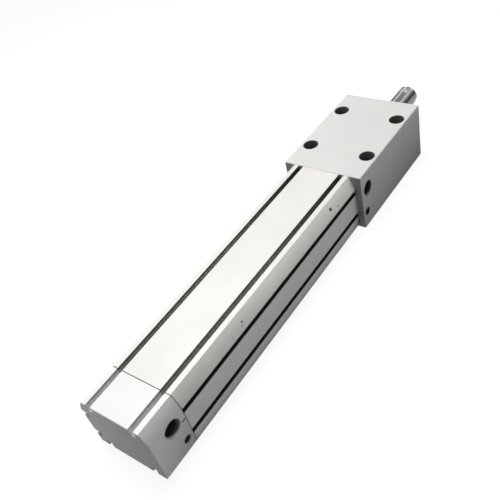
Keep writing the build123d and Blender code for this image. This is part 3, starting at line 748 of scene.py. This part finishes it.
def thread_in(mount, ridge, pitch, steps):
    """A bmesh of a tapped hole's thread: a ridge inside its wall, wound half a turn short of both ends."""
    wall, length = (mount["dims"][size] / 1000 for size in ("r_mm", "length_mm"))
    turns = max(1.0, length / pitch - 1.0)
    start, crest = wall - RIDGE_START * ridge, wall - ridge
    low = -turns * pitch / 2
    bm = bmesh.new()
    section = [
        bm.verts.new((radius, 0, low + share * pitch))
        for radius, share in (
            (start, -RIDGE_FOOT), (crest, -RIDGE_CREST), (crest, RIDGE_CREST), (start, RIDGE_FOOT)
        )
    ]
    face = bm.faces.new(section)
    count = round(turns * steps)
    bmesh.ops.spin(
        bm, geom=[face, *face.edges, *face.verts], cent=(0, 0, 0), axis=(0, 0, 1),
        dvec=(0, 0, turns * pitch / count), angle=2 * pi * turns, steps=count, use_merge=False,
    )
    bmesh.ops.holes_fill(bm, edges=[edge for edge in bm.edges if edge.is_boundary], sides=len(section))
    turn_to(bm, mount["axis"], mount["pos_m"])
    return bm


def round_ring(axis, place, middle, section, seals):
    """A bmesh of a ring of round section: a circle spun about the axis."""
    bm = bmesh.new()
    verts = bmesh.ops.create_circle(bm, segments=seals.section_segments, radius=section)["verts"]
    bmesh.ops.rotate(bm, verts=verts, cent=(0, 0, 0), matrix=Matrix.Rotation(pi / 2, 3, "X"))
    bmesh.ops.translate(bm, verts=verts, vec=(middle, 0, 0))
    bmesh.ops.spin(
        bm, geom=[*bm.edges, *bm.verts], cent=(0, 0, 0), axis=(0, 0, 1), dvec=(0, 0, 0),
        angle=2 * pi, steps=seals.ring_segments, use_merge=True,
    )
    turn_to(bm, axis, place)
    return bm


class CYLINDER_OT_outer_finish(bpy.types.Operator):
    """Give the block, the tube and the rear cover their anodised skins"""

    bl_idname = "cylinder.outer_finish"
    bl_label = "Finish block, tube and cover"

    def execute(self, context):
        finish = context.scene.cylinder_finish
        casings = ("front_block", "cylinder_tube", "rear_cover")
        block_ends, tube_ends, cover_ends = (tuple(corner.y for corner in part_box(name)) for name in casings)
        tube_rear, tube_front = tube_ends
        block = Skin(
            finish.block_colour, finish.block_metal, lines=0.25, seam=tube_front,
            hollow_shade=finish.block_hollow_shade, side_slot_shade=finish.block_hollow_shade, shade_range=MILLED_SHADE,
            floor_shades=(finish.block_rear_floor_shade, finish.block_front_floor_shade), ends=block_ends,
            bores=(*screw_bores(finish), *front_bores(finish)),
        )
        tube = Skin(
            finish.tube_colour, finish.tube_metal, lines=1.0, seam=tube_rear,
            hollow_shade=finish.tube_hollow_shade, side_slot_shade=finish.side_slot_shade, shade_range=DRAWN_SHADE,
            floor_shades=(finish.tube_floor_shade, finish.tube_floor_shade), ends=tube_ends, lips=True, specks=CORNER_SPECKS,
            slant_light_and_shade=(finish.tube_rear_slant_shade, finish.tube_front_slant_light),
        )
        cover = Skin(
            finish.cover_colour, finish.cover_metal, lines=0.2, seam=tube_rear,
            hollow_shade=finish.cover_hollow_shade, side_slot_shade=finish.cover_hollow_shade, shade_range=MILLED_SHADE,
            floor_shades=(finish.cover_rear_floor_shade, finish.cover_front_floor_shade), ends=cover_ends, lips=True,
            bores=rear_bores(finish), scratch=COVER_SCRATCH,
            slant_light_and_shade=(finish.cover_slant_shade, finish.cover_slant_shade), rear_face_shade=finish.rear_face_shade,
        )
        dress(anodised("block_skin", block, finish), "front_block")
        dress(anodised("tube_skin", tube, finish), "cylinder_tube")
        dress(anodised("cover_skin", cover, finish), "rear_cover")
        return {"FINISHED"}


def screw_bores(finish):
    """The counterbores of the block's four screw holes, from its top face, painted dark inside as shade, with
    a painted dark rim.
    """
    pattern = mounts["base_bolts"]
    half_x, half_y = (pattern["dims"][f"spacing_{axis}_mm"] / 1000 / 2 for axis in "xy")
    middle = Vector(pattern["pos_m"])
    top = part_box("front_block")[1].z
    return tuple(
        Bore(
            "Z", (middle.x + side_x * half_x, middle.y + side_y * half_y, top), SCREW_MOUTH, SCREW_DEPTHS,
            finish.screw_bore_shade,
        )
        for side_x in (-1, 1) for side_y in (-1, 1)
    )


def front_bores(finish):
    """The front port and the front needle's hole with a rim of painted shade, in the block's +X side, both
    painted dark inside as shade.
    """
    port, needle = side_bores("front_port", "front_block", "front_needle", finish)
    return port, needle._replace(radius=needle.radius + NEEDLE_SHADE_RIM, depths=RIMMED_NEEDLE_DEPTHS)


def rear_bores(finish):
    """The rear port with its chamfer and the rear needle's hole, in the cover's +X side, painted dark inside
    as shade.
    """
    port, needle = side_bores("rear_port", "rear_cover", "rear_needle", finish)
    chamfer = finish.port_chamfer
    return port._replace(depths=tuple(chamfer + depth for depth in port.depths), chamfer=chamfer), needle


def side_bores(port, casing, needle, finish):
    """The two holes in a casing's +X side: its air port and its needle's hole."""
    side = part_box(casing)[1].x
    _, port_y, port_z = mounts[port]["pos_m"]
    port_radius = mounts[port]["dims"]["r_mm"] / 1000
    low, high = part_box(needle)
    middle = (low + high) / 2
    needle_radius = (high.z - low.z) / 2
    return (
        Bore("X", (side, port_y, port_z), port_radius, PORT_DEPTHS, finish.bore_shade),
        Bore("X", (side, middle.y, middle.z), needle_radius, NEEDLE_DEPTHS, finish.bore_shade),
    )


class CYLINDER_OT_shaft_finish(bpy.types.Operator):
    """Give the spline shaft its ground and polished steel"""

    bl_idname = "cylinder.shaft_finish"
    bl_label = "Finish spline shaft"

    def execute(self, context):
        finish = context.scene.cylinder_finish
        low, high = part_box("spline_shaft")
        groove = ((low.z + high.z) / 2, (high.z - low.z) / 2)
        steel = polished_steel("shaft_steel", finish.crest_colour, groove, finish.groove_colour)
        dress(steel, "spline_shaft")
        return {"FINISHED"}


class CYLINDER_OT_metal_parts(bpy.types.Operator):
    """Give the turned carriers, the nut, the needles, the key and the bolts their bare or blackened metal"""

    bl_idname = "cylinder.metal_parts"
    bl_label = "Finish inner metal parts"

    def execute(self, context):
        finish = context.scene.cylinder_finish
        turned = machined(
            "turned_aluminium", finish.carrier_colour, roughness=0.30, metallic=0.85, lines=TURNED_LINES
        )
        ground = machined("ground_steel", finish.steel_colour, roughness=0.26, metallic=1.0)
        black = machined("black_steel", finish.bolt_colour, roughness=0.38, metallic=0.6)
        dress(turned, "rod_cover", "cushion_sleeve", "cushion_spear", "piston_rear_half", "piston_front_half")
        dress(ground, "spline_nut", "front_needle", "rear_needle")
        dress(black, "tie_bolts", "nut_key")
        return {"FINISHED"}


class CYLINDER_OT_soft_parts(bpy.types.Operator):
    """Give the seals, bumpers, caps, wear ring and magnet their rubber and resin"""

    bl_idname = "cylinder.soft_parts"
    bl_label = "Finish rubber and resin parts"

    def execute(self, context):
        finish = context.scene.cylinder_finish
        rubber = moulded("nitrile_rubber", finish.rubber_colour, roughness=0.62, grain=0.0002)
        wiper = moulded("wiper_rubber", finish.rubber_colour, roughness=0.55, grain=0.00015)
        urethane = moulded(
            "amber_urethane", finish.urethane_colour, roughness=0.34, grain=0.0006, dust=(0.62, 0.42, 0.14)
        )
        resin = moulded("moulded_resin", finish.resin_colour, roughness=0.48, grain=0.0004)
        wear_resin = moulded(
            "wear_resin", finish.wear_ring_colour, roughness=0.52, grain=0.0003, dust=(0.42, 0.33, 0.22)
        )
        dress(rubber, "rod_seal", "piston_seal_rear", "piston_seal_front")
        dress(wiper, "rod_wiper")
        dress(urethane, "rear_bumper", "front_bumper", "rear_cushion_seal", "front_cushion_seal")
        dress(resin, "nut_cap_rear", "nut_cap_front", "piston_magnet")
        dress(wear_resin, "piston_wear_ring")
        return {"FINISHED"}


class CYLINDER_OT_port_threads(bpy.types.Operator):
    """Cut the pipe threads of both air ports"""

    bl_idname = "cylinder.port_threads"
    bl_label = "Make port threads"

    def execute(self, context):
        threads = context.scene.cylinder_threads
        ports = (
            ("front_port", "block_skin", "block_aluminium"),
            ("rear_port", "cover_skin", "cover_aluminium"),
        )
        for name, skin, slot in ports:
            bm = thread_in(mounts[name], threads.port_ridge, threads.port_pitch, threads.steps_per_turn)
            piece_from(bm, f"{name}_thread", bpy.data.materials[skin], "barrel")
        return {"FINISHED"}


class CYLINDER_OT_rod_thread(bpy.types.Operator):
    """Cut the thread in the end of the rod"""

    bl_idname = "cylinder.rod_thread"
    bl_label = "Make rod end thread"

    def execute(self, context):
        threads = context.scene.cylinder_threads
        end = mounts["rod_end_thread"]
        bm = thread_in(end, threads.rod_ridge, threads.rod_pitch, threads.steps_per_turn)
        piece_from(bm, "rod_end_ridge", bpy.data.materials["shaft_steel"], "rod")
        return {"FINISHED"}


class CYLINDER_OT_round_rings(bpy.types.Operator):
    """Make each O-ring round in section, where its squeezed solid lies"""

    bl_idname = "cylinder.round_rings"
    bl_label = "Make O-rings"

    def execute(self, context):
        finish = context.scene.cylinder_finish
        seals = context.scene.cylinder_seals
        rubber = moulded("ring_rubber", finish.rubber_colour, roughness=0.45, grain=0.0003)
        for ring in O_RINGS:
            low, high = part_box(ring.node)
            middle = (high.z - low.z) / 2 - ring.section
            bm = round_ring(ring.axis, (low + high) / 2, middle, ring.section, seals)
            piece_from(bm, f"{ring.node}_round", rubber, ring.body, (ring.node,))
        return {"FINISHED"}


class CYLINDER_OT_spline_balls(bpy.types.Operator):
    """Make the spline balls round, where their faceted solids lie"""

    bl_idname = "cylinder.spline_balls"
    bl_label = "Make spline balls"

    def execute(self, context):
        seals = context.scene.cylinder_seals
        steel = polished_steel("ball_steel", context.scene.cylinder_finish.ball_colour)
        bm = bmesh.new()
        for middle in ball_middles():
            place = Matrix.Translation(middle)
            bmesh.ops.create_icosphere(
                bm, subdivisions=seals.ball_detail, radius=seals.ball_radius, matrix=place
            )
        piece_from(bm, "spline_balls_round", steel, "barrel", ("spline_balls",))
        return {"FINISHED"}


def ball_middles():
    """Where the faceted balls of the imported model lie: the middle of each loose group of its triangles."""
    bm = bmesh.new()
    bm.from_mesh(nodes["spline_balls"].data)
    bmesh.ops.remove_doubles(bm, verts=bm.verts, dist=WELD_DISTANCE)
    left = set(bm.verts)
    middles = []
    while left:
        group = set()
        found = [left.pop()]
        while found:
            vert = found.pop()
            group.add(vert)
            near = {edge.other_vert(vert) for edge in vert.link_edges} & left
            left -= near
            found.extend(near)
        low = Vector([min(vert.co[i] for vert in group) for i in range(3)])
        high = Vector([max(vert.co[i] for vert in group) for i in range(3)])
        middles.append((low + high) / 2)
    bm.free()
    return sorted(middles, key=tuple)


class CYLINDER_OT_studio(bpy.types.Operator):
    """Set up the floor, the lamps, the even light and the camera"""

    bl_idname = "cylinder.studio"
    bl_label = "Set up studio"

    def execute(self, context):
        studio = context.scene.cylinder_studio
        make_floor(studio)
        make_world(context.scene, studio)
        add_lamp("key_lamp", studio.key_offset, studio.key_power, studio.key_size)
        add_lamp("fill_lamp", studio.fill_offset, studio.fill_power, studio.fill_size)
        place_camera(context.scene, studio)
        context.scene.view_settings.view_transform = "Standard"
        return {"FINISHED"}


def seen_share(tree):
    """1 for rays from the camera, from glossy surfaces and through glass, and 0 for the light itself."""
    rays = put(tree, "ShaderNodeLightPath", {})
    seen = maths(tree, "MAXIMUM", rays.outputs["Is Camera Ray"], rays.outputs["Is Glossy Ray"])
    return maths(tree, "MAXIMUM", seen, rays.outputs["Is Transmission Ray"])


def make_floor(studio):
    """A grey floor that looks white to the camera and still takes the cylinder's shadow."""
    bm = bmesh.new()
    bmesh.ops.create_grid(bm, x_segments=1, y_segments=1, size=studio.floor_size / 2)
    mesh = bpy.data.meshes.new("floor")
    bm.to_mesh(mesh)
    bm.free()
    floor = bpy.data.objects.new("floor", mesh)
    bpy.context.scene.collection.objects.link(floor)
    material, tree, shader = new_material("floor_paint")
    feed(tree, shader, {
        "Base Color": (*(studio.floor_tone,) * 3, 1.0),
        "Roughness": 1.0,
        "Specular IOR Level": 0.0,
        "Emission Color": WHITE,
        "Emission Strength": product(tree, seen_share(tree), studio.floor_glow),
    })
    mesh.materials.append(material)


def make_world(scene, studio):
    """White to the camera, white with dark cards low in front to gloss, and a weak even light elsewhere."""
    world = bpy.data.worlds.new("studio_air")
    scene.world = world
    world.use_nodes = True
    tree = world.node_tree
    direction = coordinates(tree, "Generated")
    forward = one_axis(tree, direction, "Y")
    low = remap(tree, one_axis(tree, direction, "Z"), *CARD_TOP, 1.0 - studio.horizon_tone, 0.0)
    glossy = put(tree, "ShaderNodeLightPath", {}).outputs["Is Glossy Ray"]
    cards = product(tree, glossy, product(tree, low, remap(tree, forward, *CARD_SIDE)))
    even = remap(tree, forward, -1.0, 1.0, studio.rear_ambient, studio.ambient)
    seen = remap(tree, seen_share(tree), 0.0, 1.0, even, 1.0)
    strength = product(tree, seen, maths(tree, "SUBTRACT", 1.0, cards))
    feed(tree, tree.nodes["Background"], {"Color": WHITE, "Strength": strength})


def add_lamp(name, offset, power, size):
    """A square soft lamp that stands off the cylinder's middle and points at it."""
    light = bpy.data.lights.new(name, "AREA")
    light.energy = power
    light.size = size
    lamp = bpy.data.objects.new(name, light)
    low, high = cad_box
    middle = (low + high) / 2
    lamp.location = middle + Vector(offset)
    lamp.rotation_mode = "QUATERNION"
    lamp.rotation_quaternion = (middle - lamp.location).to_track_quat("-Z", "Y")
    bpy.context.scene.collection.objects.link(lamp)


def place_camera(scene, studio):
    """The camera of the photograph: over the ports' side, behind and above."""
    camera = bpy.data.objects.new("camera", bpy.data.cameras.new("camera"))
    camera.data.lens = studio.lens
    camera.data.sensor_width = SENSOR_WIDTH
    camera.data.clip_start = NEAREST_SEEN
    level = cos(studio.look_down)
    across, along = sin(studio.look_azimuth) * level, cos(studio.look_azimuth) * level
    look = Vector((across, along, -sin(studio.look_down)))
    camera.location = studio.camera_place
    camera.rotation_mode = "QUATERNION"
    camera.rotation_quaternion = look.to_track_quat("-Z", "Y") @ Quaternion((0, 0, 1), studio.roll)
    scene.collection.objects.link(camera)
    scene.camera = camera


class CYLINDER_PT_panel(bpy.types.Panel):
    """The cylinder's steps and settings"""

    bl_idname = "CYLINDER_PT_panel"
    bl_label = "Guided Air Cylinder"
    bl_space_type = "VIEW_3D"
    bl_region_type = "UI"
    bl_category = "Cylinder"

    def draw(self, context):
        for group, operators in STEPS:
            box = self.layout.box()
            settings = getattr(context.scene, group)
            for setting in settings.bl_rna.properties.keys():
                if setting not in ("rna_type", "name"):
                    box.prop(settings, setting)
            for operator in operators:
                box.operator(operator.bl_idname)


STEPS = (
    (
        "cylinder_finish",
        (CYLINDER_OT_outer_finish, CYLINDER_OT_shaft_finish, CYLINDER_OT_metal_parts, CYLINDER_OT_soft_parts),
    ),
    ("cylinder_threads", (CYLINDER_OT_port_threads, CYLINDER_OT_rod_thread)),
    ("cylinder_seals", (CYLINDER_OT_round_rings, CYLINDER_OT_spline_balls)),
    ("cylinder_studio", (CYLINDER_OT_studio,)),
)
SETTINGS = {
    "cylinder_finish": CylinderFinish,
    "cylinder_threads": CylinderThreads,
    "cylinder_seals": CylinderSeals,
    "cylinder_studio": CylinderStudio,
}


def register():
    """Add the settings to the scene, and register the operators and the panel."""
    for name, group in SETTINGS.items():
        bpy.utils.register_class(group)
        setattr(bpy.types.Scene, name, PointerProperty(type=group))
    for _, operators in STEPS:
        for operator in operators:
            bpy.utils.register_class(operator)
    bpy.utils.register_class(CYLINDER_PT_panel)


def unregister():
    """Take out the panel, the operators and the settings."""
    bpy.utils.unregister_class(CYLINDER_PT_panel)
    for _, operators in STEPS:
        for operator in operators:
            bpy.utils.unregister_class(operator)
    for name, group in SETTINGS.items():
        delattr(bpy.types.Scene, name)
        bpy.utils.unregister_class(group)


def main():
    """Register the settings and the steps, and run the steps one after another."""
    register()
    for _, operators in STEPS:
        for operator in operators:
            group, name = operator.bl_idname.split(".")
            getattr(getattr(bpy.ops, group), name)()


if __name__ == "__main__":
    main()
